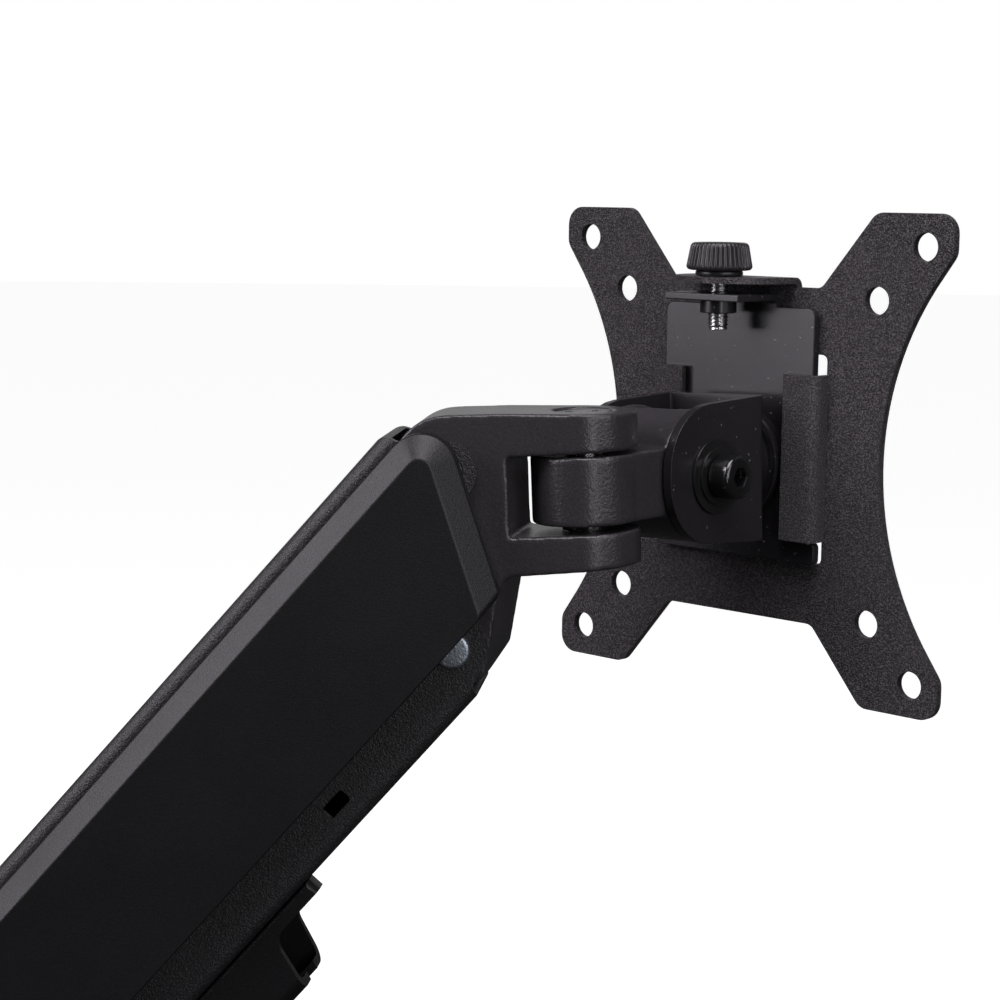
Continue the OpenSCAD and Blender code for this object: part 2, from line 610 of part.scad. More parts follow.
/* Quick-release plate, turns on the spin axis */
qr_y0 = 0.4;
qr_y1 = 2.6;
qr_low = -25.1;
flange_w = 10.9;
flange_z = 38.1;
stud_y = 10.5;
stud_r = 2.5;
module quick_release_plate() color(SHEET) at_plate() difference() {
    union() {
        upright(qr_y0, qr_y1) {
            polygon(rounded(box_pts(-22.2, -23, 22.2, 35, 2.2)));
            polygon(rounded(box_pts(-23.9, qr_low, 23.9, qr_low + 5.2, 1.2)));
        }
        sideways(-flange_w, flange_w) polygon(rounded([[qr_y0, 30, 0], [qr_y1, 30, 0],
            [qr_y1, flange_z - 1.7, 0.8], [17.2, flange_z - 1.7, 0.3], [17.2, flange_z, 0.3],
            [qr_y0, flange_z, 2.4]]));
        translate([0, stud_y, 33.4]) cylinder(r = 4.3, h = 4);
    }
    translate([0, stud_y, 20]) cylinder(r = stud_r + run, h = 20);
    translate([0, 0, -spin_drop]) rotate([90, 0, 0]) cylinder(r = 6, h = 20, center = true);
}
module rotation_disc() color(SHEET) at_spin() rotate([-90, 0, 0]) {
    ring(14, 6, qr_y1, 4.6);
    ring(11, 6, 4.5, 7.9);
}
module rotation_pivot() color(STEEL) at_spin() rotate([-90, 0, 0]) {
    translate([0, 0, 0.6]) cylinder(r = 6, h = 11.6);
    translate([0, 0, 11.6]) cylinder(r = 8, h = 1.6);
}

/* VESA plate: X-shaped sheet with two folded rails and a folded top tab */
waist_r = 72.6;
waist_x = 39.6 + waist_r;
module vesa_outline() difference() {
    h = vesa_size / 2;
    a = [[h, 48.3, 4], [h, h, 4.5], [36.6, h, 4], [21.9, 39.7, 3]];
    b = [[53, 42, 0]];
    polygon(rounded(concat(b, a, [for (i = [3:-1:0]) [-a[i].x, a[i].y, a[i].z]],
        [[-53, 42, 0], [-53, -42, 0]], [for (p = a) [-p.x, -p.y, p.z]],
        [for (i = [3:-1:0]) [a[i].x, -a[i].y, a[i].z]], [[53, -42, 0]])));
    for (s = [-1, 1]) translate([s * waist_x, 0]) circle(r = waist_r);
    for (pitch = [pitch_large, pitch_small], sx = [-1, 1], sy = [-1, 1])
        translate([sx, sy] * pitch / 2) circle(d = vesa_hole);
    for (s = [-1, 1]) translate([s * 17.4, 0]) polygon(rounded(box_pts(-6.9, -25.2, 6.9, 24.3, 1.5)));
}
tab_w = 15;
tab_y = 3;
tab_z = 40.5;
tab_t = 1.5;
module top_tab() {
    sideways(-tab_w, tab_w) polygon(rounded([[-vesa_t, tab_z - 2, 0], [0, tab_z - 2, 0], [0, tab_z, 0.6],
        [tab_y, tab_z, 0], [tab_y, tab_z + tab_t, 0], [-vesa_t, tab_z + tab_t, 2.4]]));
    layer(tab_z, tab_z + tab_t) intersection() {
        translate([0, tab_y]) circle(r = tab_w);
        translate([-tab_w - over, tab_y]) square([2 * tab_w + 2 * over, 2 * tab_w]);
    }
}
module vesa_plate() color(SHEET) at_plate() {
    difference() {
        union() {
            upright(-vesa_t, 0) vesa_outline();
            for (s = [0, 1]) mirror([s, 0, 0]) layer(-19.6, 19.6) polygon(rounded([[24.9, -vesa_t, 1],
                [24.9, 5, 2.6], [15.2, 5, 0.5], [15.2, 3, 0.5], [22.9, 3, 0.6], [22.9, -vesa_t, 0]]));
            top_tab();
        }
        translate([0, stud_y, 30]) cylinder(r = 2.8, h = 20);
    }
}

/* Thumb screw */
knob_z = 43.4;
stud_z = 29.4;
module thumb_collar() color(PLASTIC) at_plate() translate([0, stud_y, 0])
    ring(5.6, stud_r + run, tab_z + tab_t + 0.1, knob_z - 0.1);
knurls = 32;
module thumb_knob() color(PLASTIC) at_plate() translate([0, stud_y, knob_z]) difference() {
    rotate_extrude() polygon([[0, 0], [7.3, 0], [7.8, 0.5], [6.9, 5.8], [6.3, 6.3], [0, 6.7]]);
    for (i = [0:knurls - 1]) rotate([0, 0, i * 360 / knurls]) translate([7.9, 0, 0])
        rotate([0, -9.5, 0]) translate([0, 0, -2]) cylinder(r = 0.45, h = 11, $fn = 4);
    translate([0, 0, -over]) cylinder(r = stud_r, h = 4 + over);
}
module thumb_stud() color(STEEL) at_plate() translate([0, stud_y, stud_z])
    cylinder(r = stud_r, h = knob_z + 4 - stud_z);

desk_pad();
base_plate();
base_column();
column_screws();
swivel_post();
post_washer();
post_screw();
clamp_bracket();
clamp_bolts();
clamp_disc();
clamp_pad();
clamp_screw();
clamp_handle();
lower_arm();
base_bush();
elbow_bush();
base_cap();
elbow_cap();
lower_cable_cover();
elbow_bracket();
elbow_shaft();
elbow_washer();
elbow_screw();
tension_screw();
tension_nut();
upper_channel();
side_cover_left();
side_cover_right();
rear_upper_pin();
front_upper_pin();
spring_pin();
gas_cylinder();
gas_rod();
rod_clevis();
lower_link();
rear_lower_pin();
front_lower_rivet();
cable_duct();
head_fork();
fork_bush();
swivel_pin();
swivel_cap();
knuckle();
barrel_bush();
tilt_bracket();
tilt_bolt();
tilt_nut();
tilt_sleeve();
tilt_washers();
friction_ring();
quick_release_plate();
rotation_disc();
rotation_pivot();
vesa_plate();
thumb_collar();
thumb_knob();
thumb_stud();
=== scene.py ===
"""Monitor arm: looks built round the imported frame.

Shapes are drawn in millimetres, each in its own part's space, and lights and camera in metres.
"""

import json
import math

import bmesh
import bpy
from mathutils import Matrix, Vector


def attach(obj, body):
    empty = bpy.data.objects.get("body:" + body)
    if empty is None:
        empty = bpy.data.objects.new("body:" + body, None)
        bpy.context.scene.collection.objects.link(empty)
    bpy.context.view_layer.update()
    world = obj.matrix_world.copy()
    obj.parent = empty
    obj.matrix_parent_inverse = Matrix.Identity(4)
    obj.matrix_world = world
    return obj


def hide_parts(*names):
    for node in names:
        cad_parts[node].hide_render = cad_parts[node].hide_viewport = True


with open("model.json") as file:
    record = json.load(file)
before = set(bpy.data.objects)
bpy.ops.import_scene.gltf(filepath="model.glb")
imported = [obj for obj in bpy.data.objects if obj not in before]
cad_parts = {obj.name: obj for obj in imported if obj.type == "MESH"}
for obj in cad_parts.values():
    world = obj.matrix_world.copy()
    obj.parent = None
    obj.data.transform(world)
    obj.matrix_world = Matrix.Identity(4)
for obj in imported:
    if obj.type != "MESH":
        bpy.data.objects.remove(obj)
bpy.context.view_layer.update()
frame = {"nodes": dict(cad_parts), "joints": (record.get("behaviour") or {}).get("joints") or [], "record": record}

MM = 0.001
TAU = 2 * math.pi
JOINTS = {j["name"]: j for j in frame["joints"]}
MOUNTS = {m["name"]: m for m in frame["record"]["mounts"]}
NODE_BODY = {n: b for b, ns in frame["record"]["behaviour"]["bodies"].items() for n in ns}
NODE_SLOT = {s["node"]: s["material_slot"] for s in frame["record"]["subparts"]}


# ---------------------------------------------------------------- spaces
def spot(joint):
    return Vector(JOINTS[joint]["pos_m"])


def along(joint):
    return Vector(JOINTS[joint]["axis"]).normalized()


def space(origin, x, y, z):
    m = Matrix((x, y, z)).transposed().to_4x4()
    m.translation = origin
    return m @ Matrix.Scale(MM, 4)


X, Y, Z = Vector((1, 0, 0)), Vector((0, 1, 0)), Vector((0, 0, 1))
lateral = along("arm_lift")
arm_dir = (spot("fork_level") - spot("arm_lift")).normalized()
LINK = space(spot("link_swing"), arm_dir, lateral, arm_dir.cross(lateral))
tilt = along("head_tilt")
TILT = space(spot("head_tilt"), tilt, Y, tilt.cross(Y))
PLATE_T = 2.0
plate_at = Vector(MOUNTS["vesa_100"]["pos_m"]) + PLATE_T * MM * Y
PLATE = space(plate_at, X, Y, Z)
SPIN = space(spot("screen_rotation"), X, Y, Z)
SPAN = (spot("fork_level") - spot("arm_lift")).length / MM
WORLD = Matrix.Scale(MM, 4)
elbow_at = spot("elbow_swivel")
elbow_at.z = 0
ELBOW = space(elbow_at, lateral.cross(Z), lateral, Z)
REAR = space(spot("arm_lift"), lateral.cross(Z), lateral, Z)


# ---------------------------------------------------------------- materials
# Noise scales per metre: colour mottle, roughness patches, dust specks and scratches on worn edges
MOTTLE, PATCH, DUST, SCRATCH = 60, 35, 1100, 260
DUST_COLOR = (0.3, 0.3, 0.3)
WORN = (0.3, 0.3, 0.3)


def link(tree, a, b):
    tree.links.new(a, b)


def node(tree, kind, **values):
    n = tree.nodes.new(kind)
    for key, value in values.items():
        if key in n.inputs:
            n.inputs[key].default_value = value
        else:
            setattr(n, key, value)
    return n


def noise(tree, coords, scale, detail=2.0, rough=0.5):
    n = node(tree, "ShaderNodeTexNoise", Scale=scale, Detail=detail, Roughness=rough)
    link(tree, coords, n.inputs["Vector"])
    return n.outputs["Fac"]


def ramp(tree, fac, low, high, out_low=0.0, out_high=1.0):
    n = node(tree, "ShaderNodeMapRange")
    n.inputs["From Min"].default_value = low
    n.inputs["From Max"].default_value = high
    n.inputs["To Min"].default_value = out_low
    n.inputs["To Max"].default_value = out_high
    link(tree, fac, n.inputs["Value"])
    return n.outputs["Result"]


def bump(tree, height, distance, normal=None):
    n = node(tree, "ShaderNodeBump", Strength=1.0, Distance=distance)
    link(tree, height, n.inputs["Height"])
    if normal is not None:
        link(tree, normal, n.inputs["Normal"])
    return n.outputs["Normal"]


def finish(name, color, rough, grain, grain_depth, swell=0, swell_depth=0, metal=0.0, spec=0.5,
           spread=0.06, rough_spread=0.03, wear=0.0, wear_color=WORN, glint_specks=0.0, glint=3.2, dust=0.0):
    """A coated surface: mottle, grain, painted glint specks, two sizes of bump, roughness patches, dust and worn
    edges.

    Scales are per metre, depths in metres; the amounts of painted glint specks, dust and wear run from 0 to 1.
    """
    mat = bpy.data.materials.new(name)
    mat.use_nodes = True
    tree = mat.node_tree
    shader = tree.nodes["Principled BSDF"]
    shader.inputs["Metallic"].default_value = metal
    shader.inputs["Specular IOR Level"].default_value = spec
    coords = tree.nodes.new("ShaderNodeTexCoord").outputs["Object"]
    fine = noise(tree, coords, grain, 3.0, 0.6)
    broad = noise(tree, coords, MOTTLE, 4.0, 0.55)
    tint = blend(tree, ramp(tree, broad, 0.1, 0.9), [c * (1 - spread) for c in color],
                 [c * (1 + spread) for c in color])
    # Painted glints: bright specks at glint times the colour stand in for light caught on the grain, with darker
    # specks at 0.8 over glint between them.
    if glint_specks:
        tint = blend(tree, ramp(tree, fine, 0.52, 0.62, 0.0, glint_specks), tint, [c * glint for c in color])
        tint = blend(tree, ramp(tree, fine, 0.48, 0.38, 0.0, glint_specks), tint,
                     [c * 0.8 / glint for c in color])
    if dust:
        specks = noise(tree, coords, DUST, 0.0, 0.0)
        tint = blend(tree, ramp(tree, specks, 0.82, 0.85, 0.0, dust), tint, DUST_COLOR)
    if wear:
        geo = tree.nodes.new("ShaderNodeNewGeometry")
        scratch = noise(tree, coords, SCRATCH, 5.0, 0.7)
        edge = node(tree, "ShaderNodeMath", operation="MULTIPLY")
        link(tree, ramp(tree, geo.outputs["Pointiness"], 0.52, 0.62), edge.inputs[0])
        link(tree, ramp(tree, scratch, 0.35, 0.65, 0.0, wear), edge.inputs[1])
        tint = blend(tree, edge.outputs[0], tint, wear_color)
    link(tree, tint, shader.inputs["Base Color"])
    patch = noise(tree, coords, PATCH, 5.0, 0.6)
    link(tree, ramp(tree, patch, 0.3, 0.7, rough - rough_spread, rough + rough_spread),
         shader.inputs["Roughness"])
    normal = bump(tree, fine, grain_depth)
    if swell:
        normal = bump(tree, noise(tree, coords, swell, 1.0, 0.4), swell_depth, normal=normal)
    link(tree, normal, shader.inputs["Normal"])
    return mat


# Places of the colour sockets on a mix node
MIX_A, MIX_B, MIX_RESULT = 6, 7, 2


def blend(tree, factor, low, high):
    """Mix two colours; each is a plain colour or the output of an earlier mix."""
    mix = node(tree, "ShaderNodeMix", data_type="RGBA", blend_type="MIX")
    link(tree, factor, mix.inputs["Factor"])
    for socket, value in ((MIX_A, low), (MIX_B, high)):
        if isinstance(value, (list, tuple)):
            mix.inputs[socket].default_value = list(value) + [1]
        else:
            link(tree, value, mix.inputs[socket])
    return mix.outputs[MIX_RESULT]


MATS = {
    "cast": finish("cast_coat", (0.029, 0.0265, 0.030), 0.30, grain=3000, grain_depth=4e-5,
                   glint_specks=0.15, swell=1400, swell_depth=7e-5, wear=0.5, wear_color=(0.16, 0.157, 0.16)),
    "sand": finish("sand_coat", (0.038, 0.0337, 0.0376), 0.33, grain=2700, grain_depth=1.3e-3,
                   glint_specks=0.9, glint=4.0, swell=1900, swell_depth=2.5e-4),
    "satin": finish("satin_coat", (0.015, 0.0137, 0.0158), 0.27, grain=1800, grain_depth=1.5e-5,
                    dust=0.35, swell=300, swell_depth=1.0e-5, rough_spread=0.012),
    "folded": finish("folded_coat", (0.018, 0.0168, 0.0184), 0.38, grain=2200, grain_depth=2.5e-4,
                     glint_specks=0.4, swell=800, swell_depth=5e-5),
    "cover": finish("cover_plastic", (0.0058, 0.0055, 0.0062), 0.42, grain=2400, grain_depth=6e-5,
                    spec=0.40, glint_specks=0.15),
    "plastic": finish("plain_plastic", (0.024, 0.0222, 0.024), 0.27, grain=1600, grain_depth=6e-5,
                      swell=500, swell_depth=4e-5),
    "zinc": finish("zinc_steel", (0.66, 0.66, 0.67), 0.24, grain=500, grain_depth=2e-5, metal=1.0,
                   swell=150, swell_depth=6e-5, spread=0.10, glint_specks=0.05),
    "rivet": finish("rivet_steel", (0.42, 0.47, 0.53), 0.42, grain=1500, grain_depth=1.5e-4,
                    metal=1.0, swell=500, swell_depth=8e-5, spread=0.12),
    "oxide": finish("oxide_steel", (0.007, 0.007, 0.0075), 0.17, grain=800, grain_depth=1.2e-5,
                    spec=0.8),
    "nylon": finish("nylon_black", (0.010, 0.0095, 0.010), 0.22, grain=1200, grain_depth=4e-5),
    "rubber": finish("foam_rubber", (0.02, 0.02, 0.02), 0.8, grain=1100, grain_depth=2e-4,
                     glint_specks=0.2),
}
SLOT_MAT = {"cast_black": "cast", "sheet_black": "satin", "steel_black": "folded",
            "plastic_black": "plastic", "steel_bright": "zinc", "oxide_black": "oxide",
            "nylon_black": "nylon", "rubber_black": "rubber"}


# ---------------------------------------------------------------- mesh tools
# Edges flatter than SMOOTH degrees are shaded round, and edges sharper than SHARP are bevelled
SMOOTH = 35
SHARP = 30
# Face weighting of the evened normals
EVEN_WEIGHT = 60


def piece(node_name, bm, where, mat, smooth=SMOOTH, even=False):
    """A mesh becomes the piece that stands for a node; where carries its space into metres."""
    name = node_name + "_body"
    bmesh.ops.recalc_face_normals(bm, faces=bm.faces)
    mesh = bpy.data.meshes.new(name)
    bm.to_mesh(mesh)
    bm.free()
    if where is not None:
        mesh.transform(where)
        if where.to_3x3().determinant() < 0:
            mesh.flip_normals()
    mesh.polygons.foreach_set("use_smooth", [True] * len(mesh.polygons))
    mesh.set_sharp_from_angle(angle=math.radians(smooth))
    mesh.materials.append(MATS[mat])
    obj = bpy.data.objects.new(name, mesh)
    bpy.context.scene.collection.objects.link(obj)
    if even:
        mod = obj.modifiers.new("even", "WEIGHTED_NORMAL")
        mod.weight = EVEN_WEIGHT
        mod.keep_sharp = True
        view_layer = bpy.context.evaluated_depsgraph_get()
        done = bpy.data.meshes.new_from_object(obj.evaluated_get(view_layer))
        obj.modifiers.clear()
        obj.data = done
        bpy.data.meshes.remove(mesh)
        done.name = name
    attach(obj, NODE_BODY[node_name])
    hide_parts(node_name)


def cad_bmesh(name):
    """The node's own solid as a clean mesh, in metres: welded, with zero-size edges and faces dissolved."""
    src = frame["nodes"][name].data
    bm = bmesh.new()
    verts = [bm.verts.new(v.co) for v in src.vertices]
    for p in src.polygons:
        try:
            bm.faces.new([verts[i] for i in p.vertices])
        except ValueError:
            pass
    bmesh.ops.remove_doubles(bm, verts=bm.verts, dist=2e-6)
    bmesh.ops.dissolve_degenerate(bm, edges=bm.edges, dist=1e-6)
    bmesh.ops.recalc_face_normals(bm, faces=bm.faces)
    return bm


def bevelled(name, width, mat, segments=2):
    """A copy of a CAD node with its sharp edges rounded."""
    bm = cad_bmesh(name)
    bmesh.ops.dissolve_limit(bm, angle_limit=math.radians(0.7), verts=bm.verts, edges=bm.edges)
    limit = math.radians(SHARP)
    sharp = [e for e in bm.edges if len(e.link_faces) == 2 and e.calc_face_angle(0) > limit]
    bmesh.ops.bevel(bm, geom=sharp, offset=width * MM, segments=segments, profile=0.5, affect="EDGES",
                    clamp_overlap=True, miter_outer="ARC", harden_normals=False)
    piece(name, bm, None, mat, even=True)


def cast_copy(name, voxel, rounds, mat):
    """A copy of a CAD node with its edges melted, as a casting's are."""
    bm = cad_bmesh(name)
    mesh = bpy.data.meshes.new(name + "_tmp")
    bm.to_mesh(mesh)
    bm.free()
    mesh.transform(Matrix.Scale(1000, 4))
    obj = bpy.data.objects.new(name + "_tmp", mesh)
    bpy.context.scene.collection.objects.link(obj)
    mod = obj.modifiers.new("r", "REMESH")
    mod.mode = "VOXEL"
    mod.voxel_size = voxel
    mod = obj.modifiers.new("s", "SMOOTH")
    mod.factor = 0.5
    mod.iterations = rounds
    done = bpy.data.meshes.new_from_object(obj.evaluated_get(bpy.context.evaluated_depsgraph_get()))
    bm = bmesh.new()
    bm.from_mesh(done)
    bpy.data.objects.remove(obj)
    bpy.data.meshes.remove(mesh)
    bpy.data.meshes.remove(done)
    piece(name, bm, WORLD, mat, 60)


def hexagon(across, theta):
    """Radius of a hexagon, measured across its flats, in one direction."""
    return across / 2 / math.cos((theta + math.pi / 6) % (math.pi / 3) - math.pi / 6)


def facing(origin, direction):
    """Matrix that stands a turned shape on a point, its +Z along the direction."""
    m = Z.rotation_difference(Vector(direction)).to_matrix().to_4x4()
    m.translation = Vector(origin)
    return m


def skin(bm, rows):
    """Faces between rings of points; a ring of one point closes the shape."""
    rings = [[bm.verts.new(p) for p in row] for row in rows]
    for low, high in zip(rings, rings[1:]):
        n = max(len(low), len(high))
        for i in range(n):
            j = (i + 1) % n
            if len(low) == 1:
                bm.faces.new((low[0], high[i], high[j]))
            elif len(high) == 1:
                bm.faces.new((low[i], low[j], high[0]))
            else:
                bm.faces.new((low[i], low[j], high[j], high[i]))
    return rings


def turned(bm, profile, at=None, steps=60, shape=None, closed=False):
    """A turned shape. Each profile point is (radius, height) or (across flats, height, "hex")."""
    at = at or Matrix.Identity(4)
    rows = []
    for point in profile:
        r, z = point[0], point[1]
        if r < 1e-6:
            rows.append([at @ Vector((0, 0, z))])
            continue
        row = []
        for i in range(steps):
            a = TAU * i / steps
            rr = hexagon(r, a) if len(point) > 2 else r
            if shape:
                rr = shape(a, rr, z)
            row.append(at @ Vector((rr * math.cos(a), rr * math.sin(a), z)))
        rows.append(row)
    if closed:
        rows.append([p.copy() for p in rows[0]])
    skin(bm, rows)
    if closed:
        bmesh.ops.remove_doubles(bm, verts=bm.verts, dist=1e-5)


def rounded_ring(bm, r_in, r_out, z0, z1, soft, at, steps=72):
    """A washer with soft edges."""
    half, near = soft / 2, soft * 0.3
    turned(bm, [(r_in, z0 + half), (r_in + half, z0), (r_out - soft, z0), (r_out - near, z0 + near),
                (r_out, z0 + soft), (r_out, z1 - soft), (r_out - near, z1 - near), (r_out - soft, z1),
                (r_in + half, z1), (r_in, z1 - half)], at, steps, closed=True)


def threaded(bm, r, pitch, z0, z1, at, steps):
    """A screw thread: the radius follows a helix, with tapered ends."""
    depth = pitch * 0.55
    per_turn = 6  # rings per turn
    count = int((z1 - z0) / pitch * per_turn)
    rows = [[at @ Vector((0, 0, z0))]]
    for k in range(count + 1):
        z = z0 + (z1 - z0) * k / count
        fade = min(1.0, min(z - z0, z1 - z) / (pitch * 1.2))
        row = []
        for i in range(steps):
            a = TAU * i / steps
            phase = (z / pitch - a / TAU) % 1.0
            rr = r - depth * abs(2 * phase - 1) * (0.4 + 0.6 * fade) - (1 - fade) * depth * 0.6
            row.append(at @ Vector((rr * math.cos(a), rr * math.sin(a), z)))
        rows.append(row)
    rows.append([at @ Vector((0, 0, z1))])
    skin(bm, rows)


def socket_screw(bm, at, r, length, head_r, head_h, across, pitch):
    """Socket head screw, head above the origin: chamfered rim, undercut foot, hexagon socket, thread."""
    c = head_r * 0.09
    deep = head_h * 0.6
    turned(bm, [(0, 0), (head_r - 2 * c, 0), (head_r - c, c * 0.4), (head_r - c * 0.4, c),
                (head_r, c * 2.2), (head_r, head_h - c * 2), (head_r - c * 0.3, head_h - c),
                (head_r - c * 1.3, head_h - c * 0.2), (head_r - c * 2.4, head_h),
                (across * 1.12, head_h, "hex"), (across, head_h - c * 0.7, "hex"),
                (across, head_h - deep, "hex"), (across * 0.7, head_h - deep - 0.3, "hex"),
                (0, head_h - deep - 0.5)], at, 72)
    threaded(bm, r, pitch, -length, 0.3, at, 24)


# ---------------------------------------------------------------- camera, floor, lights
camera_data = bpy.data.cameras.new("camera")
camera_data.sensor_width = 36
camera_data.lens = 81.9
camera_data.clip_start, camera_data.clip_end = 0.01, 60
camera = bpy.data.objects.new("camera", camera_data)
# Columns of the camera's own axes: right, up and backwards
view = Matrix(((-0.721013, -0.692789, 0.013553), (0.102473, -0.087262, 0.990901),
               (-0.685303, 0.715841, 0.133909))).transposed().to_4x4()
FROM_PLATE = Vector((-0.335536, 0.434617, 0.060794))
view.translation = plate_at + FROM_PLATE
camera.matrix_world = view
bpy.context.scene.collection.objects.link(camera)
bpy.context.scene.camera = camera

FLOOR_Z, FLOOR_R = -0.19, 14
bm = bmesh.new()
bmesh.ops.create_circle(bm, cap_ends=True, radius=FLOOR_R, segments=96)
floor_mesh = bpy.data.meshes.new("floor")
bm.to_mesh(floor_mesh)
bm.free()
floor = bpy.data.objects.new("floor", floor_mesh)
floor.location = (0, 0, FLOOR_Z)
bpy.context.scene.collection.objects.link(floor)
floor_mat = bpy.data.materials.new("pale_floor")
floor_mat.use_nodes = True
shader = floor_mat.node_tree.nodes["Principled BSDF"]
shader.inputs["Base Color"].default_value = (0.5, 0.5, 0.5, 1)
shader.inputs["Roughness"].default_value = 0.9
shader.inputs["Emission Color"].default_value = (1, 1, 1, 1)
shader.inputs["Emission Strength"].default_value = 0.95
floor_mesh.materials.append(floor_mat)
floor.visible_diffuse = False
floor.visible_glossy = False

world = bpy.data.worlds.new("studio")
bpy.context.scene.world = world
world.use_nodes = True
tree = world.node_tree
background = tree.nodes["Background"]
background.inputs["Color"].default_value = (1, 1, 1, 1)
path = tree.nodes.new("ShaderNodeLightPath")
level = tree.nodes.new("ShaderNodeMapRange")
level.inputs["To Min"].default_value = 0.025
level.inputs["To Max"].default_value = 1.0
tree.links.new(path.outputs["Is Camera Ray"], level.inputs["Value"])
tree.links.new(level.outputs["Result"], background.inputs["Strength"])


def softbox(name, place, aim, size, power, color=(1, 1, 1)):
    data = bpy.data.lights.new(name, "AREA")
    data.shape = "RECTANGLE"
    data.size, data.size_y = size
    data.energy = power
    data.color = color
    lamp = bpy.data.objects.new(name, data)
    lamp.location = place
    lamp.rotation_euler = (Vector(aim) - Vector(place)).to_track_quat("-Z", "Y").to_euler()
    bpy.context.scene.collection.objects.link(lamp)
    return lamp


# Each box: place, what it aims at, size, watts, colour
softbox("top_box", (-0.27, -0.02, 1.3), (-0.02, -0.27, 0.3), (0.8, 0.8), 11, (1.0, 0.96, 1.0))
softbox("left_box", (0.75, 1.1, 1.35), (0, -0.25, 0.3), (0.8, 0.9), 16, (1.0, 0.95, 1.03))
softbox("plate_box", (0.8, 1.0, 0.66), (0, -0.33, 0.36), (0.8, 0.85), 8, (1.0, 0.95, 1.03))
softbox("right_box", (-1.6, -0.2, 0.9), (0, -0.28, 0.3), (0.8, 1.2), 8, (1.0, 0.96, 1.02))
softbox("strip_box", (-1.15, 0.35, 0.5), (0, -0.3, 0.33), (0.14, 1.0), 3)
back = softbox("back_box", (1.5, -2.2, 0.9), (0, -0.3, 0.33), (2.6, 1.2), 5)
back.visible_camera = False
bpy.context.scene.view_settings.view_transform = "Standard"


# ---------------------------------------------------------------- every node gets its slot's finish
for name, obj in frame["nodes"].items():
    obj.data.materials.clear()
    obj.data.materials.append(MATS[SLOT_MAT[NODE_SLOT[name]]])

# ---------------------------------------------------------------- rounded copies of CAD nodes
# Width of the rounded edge in millimetres, finish, and steps across it where there are not two
bevelled("vesa_plate", 0.35, "sand")
bevelled("quick_release_plate", 0.35, "satin", 3)
bevelled("tilt_bracket", 0.45, "satin", 3)
bevelled("upper_channel", 0.4, "folded")
bevelled("lower_link", 0.4, "folded")
bevelled("side_cover_left", 0.5, "cover", 3)
bevelled("side_cover_right", 0.5, "cover", 3)
for name, width, mat in (
        ("cable_duct", 0.4, "cover"), ("desk_pad", 0.5, "rubber"), ("base_plate", 0.9, "cast"),
        ("base_cap", 1.3, "plastic"), ("elbow_cap", 1.3, "plastic"), ("lower_cable_cover", 0.5, "plastic"),
        ("swivel_post", 0.6, "zinc"), ("elbow_shaft", 0.6, "zinc"), ("clamp_disc", 0.7, "satin"),
        ("clamp_pad", 0.4, "rubber"), ("tension_nut", 0.4, "zinc"), ("gas_cylinder", 0.8, "folded"),
        ("gas_rod", 0.4, "zinc"), ("rod_clevis", 0.5, "oxide"), ("swivel_cap", 0.2, "plastic"),
        ("rear_upper_pin", 0.6, "folded"), ("front_upper_pin", 0.6, "folded"), ("spring_pin", 0.5, "zinc"),
        ("rear_lower_pin", 0.6, "zinc"), ("base_bush", 0.3, "nylon"), ("elbow_bush", 0.3, "nylon"),
        ("fork_bush", 0.2, "nylon"), ("barrel_bush", 0.2, "nylon"), ("friction_ring", 0.2, "nylon"),
        ("tilt_sleeve", 0.2, "zinc"), ("swivel_pin", 0.3, "zinc")):
    bevelled(name, width, mat)
# Castings and the moulded handle: voxel in millimetres, rounds of smoothing, finish
for name, voxel, rounds, mat in (
        ("head_fork", 0.4, 12, "cast"), ("knuckle", 0.4, 12, "cast"), ("elbow_bracket", 0.6, 12, "cast"),
        ("lower_arm", 0.9, 14, "cast"), ("base_column", 0.7, 14, "cast"),
        ("clamp_bracket", 0.8, 12, "cast"), ("clamp_handle", 0.6, 22, "plastic")):
    cast_copy(name, voxel, rounds, mat)


# ---------------------------------------------------------------- turned and threaded parts
def screws(name, where, spots, direction, sizes):
    """One piece of equal screws, the seats of their heads at the spots.

    Sizes: shank radius and length, head radius and height, socket across its flats, thread pitch.
    """
    bm = bmesh.new()
    for spot_at in spots:
        socket_screw(bm, facing(spot_at, direction), *sizes)
    piece(name, bm, where, "oxide")


def washer(name, where, rings, mat):
    """Rings with soft edges: inner and outer radius, lower and upper height, edge radius, place."""
    bm = bmesh.new()
    for r_in, r_out, z0, z1, soft, at in rings:
        rounded_ring(bm, r_in, r_out, z0, z1, soft, at)
    piece(name, bm, where, mat, even=True)


# Places of the seats and axes, in millimetres, as on the solids that the pieces stand for
UP, DOWN, CENTRE = (0, 0, 1), (0, 0, -1), (0, 0, 0)
BOTH = (-1, 1)
COLUMN_AT, COUNTERBORE = 17, 5
BOLT_X, BOLT_Y, BRACKET_TOP = 24, 35, 13
POST_WASHER, POST_SEAT = 86.1, 88.1
ELBOW_SEAT = 56
EAR_OUT, TILT_SEAT = 14.6, 15.8
STUD = (0, 10.5, 0)
KNOB = (0, 10.5, 43.4)
RIVET_SIDE = 13.8
along_y = facing(CENTRE, Y)
sides = [facing(CENTRE, (side, 0, 0)) for side in BOTH]

